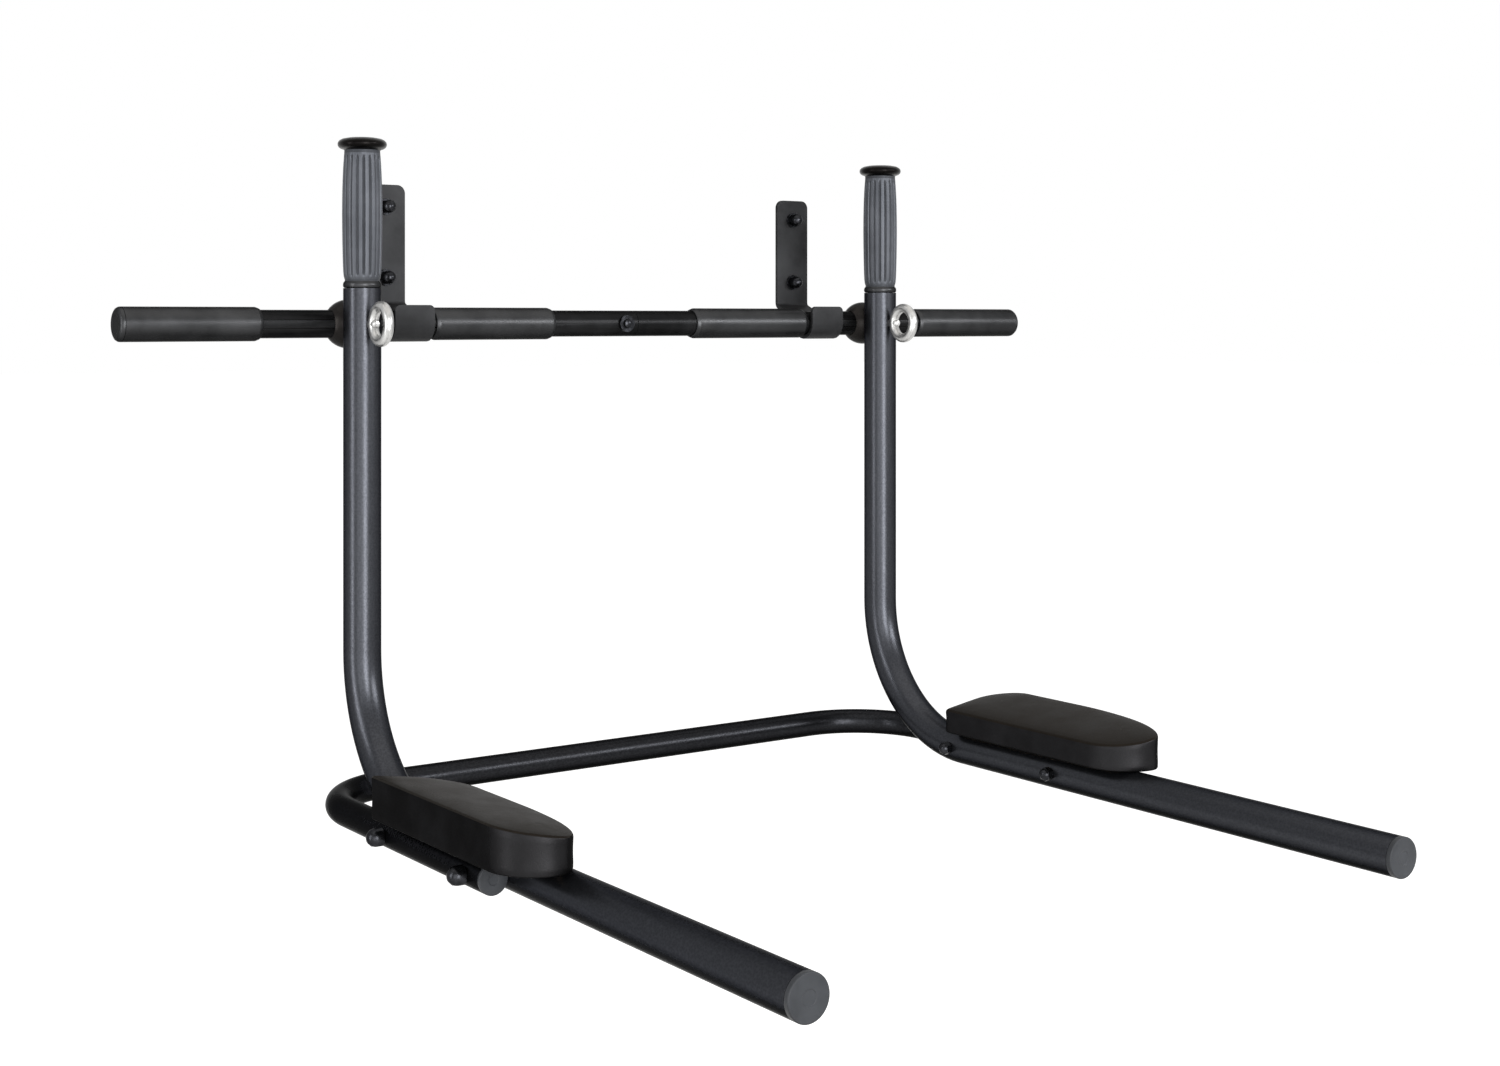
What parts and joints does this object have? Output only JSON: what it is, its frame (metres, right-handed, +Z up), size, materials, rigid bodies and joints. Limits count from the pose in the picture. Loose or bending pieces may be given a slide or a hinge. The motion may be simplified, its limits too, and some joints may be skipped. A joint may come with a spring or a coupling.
{
  "type": "dip station",
  "caption": "Wall-hung dip station: a pull-up bar lying in J hooks carries bent tube arms with sloping forearm pads, a U-shaped rear frame, fluted upright grips and eye bolts.",
  "frame": {"origin": "on the wall plane, in the middle of the four wall fixings", "axes": "+X to the right along the bar, +Y into the wall, +Z up"},
  "size_m": [1.1486, 0.8393, 0.687],
  "materials": {
    "post_paint": "charcoal powder coat with a fine hammered texture",
    "bracket_paint": "satin black powder coat",
    "bar_paint": "satin black powder coat",
    "dark_steel": "black oxide",
    "bright_steel": "bright zinc plate",
    "hub_plastic": "moulded, fine grain",
    "grip_rubber": "matte, fluted",
    "bar_rubber": "satin",
    "cap_plastic": "moulded",
    "pad_cover": "leatherette, matte",
    "board_wood": "raw plywood"
  },
  "bodies": {
    "wall_mount": {"wall_bolt_left_lower": "dark_steel", "wall_bolt_left_upper": "dark_steel", "wall_bolt_right_lower": "dark_steel", "wall_bolt_right_upper": "dark_steel", "wall_bracket_left": "bracket_paint", "wall_bracket_right": "bracket_paint", "wall_washer_left_lower": "dark_steel", "wall_washer_left_upper": "dark_steel", "wall_washer_right_lower": "dark_steel", "wall_washer_right_upper": "dark_steel"},
    "bar_sleeves": {"bar_cap_left": "cap_plastic", "bar_cap_right": "cap_plastic", "inner_grip_left": "bar_rubber", "inner_grip_right": "bar_rubber", "outer_grip_left": "bar_rubber", "outer_grip_right": "bar_rubber"},
    "frame": {"arm_cap_left": "cap_plastic", "arm_cap_right": "cap_plastic", "ball_hub_left": "hub_plastic", "ball_hub_right": "hub_plastic", "dip_cap_left": "cap_plastic", "dip_cap_right": "cap_plastic", "dip_tube_left": "post_paint", "dip_tube_right": "post_paint", "eye_bolt_left": "bright_steel", "eye_bolt_right": "bright_steel", "eye_nut_left": "dark_steel", "eye_nut_right": "dark_steel", "eye_washer_left": "dark_steel", "eye_washer_right": "dark_steel", "frame_bolt_left_front": "dark_steel", "frame_bolt_left_rear": "dark_steel", "frame_bolt_right_front": "dark_steel", "frame_bolt_right_rear": "dark_steel", "frame_nut_left_front": "dark_steel", "frame_nut_left_rear": "dark_steel", "frame_nut_right_front": "dark_steel", "frame_nut_right_rear": "dark_steel", "grip_core_left": "dark_steel", "grip_core_right": "dark_steel", "joint_bolt": "dark_steel", "joint_nut": "dark_steel", "joint_washer": "dark_steel", "pad_board_left": "board_wood", "pad_board_right": "board_wood", "pad_cushion_left": "pad_cover", "pad_cushion_right": "pad_cover", "pad_screw_left_front": "dark_steel", "pad_screw_left_rear": "dark_steel", "pad_screw_right_front": "dark_steel", "pad_screw_right_rear": "dark_steel", "post_grip_left": "grip_rubber", "post_grip_right": "grip_rubber", "pull_bar_left": "bar_paint", "pull_bar_right": "bar_paint", "rear_frame": "post_paint"}
  },
  "joints": [
    {"name": "frame_lift", "type": "slide", "parent": "wall_mount", "child": "bar_sleeves", "axis": [0, 0, 1], "range_m": [0, 0.05]},
    {"name": "frame_tilt", "type": "hinge", "parent": "bar_sleeves", "child": "frame", "pos_m": [0, -0.056, -0.0865], "axis": [1, 0, 0], "range_deg": [-21, 2.3]}
  ]
}
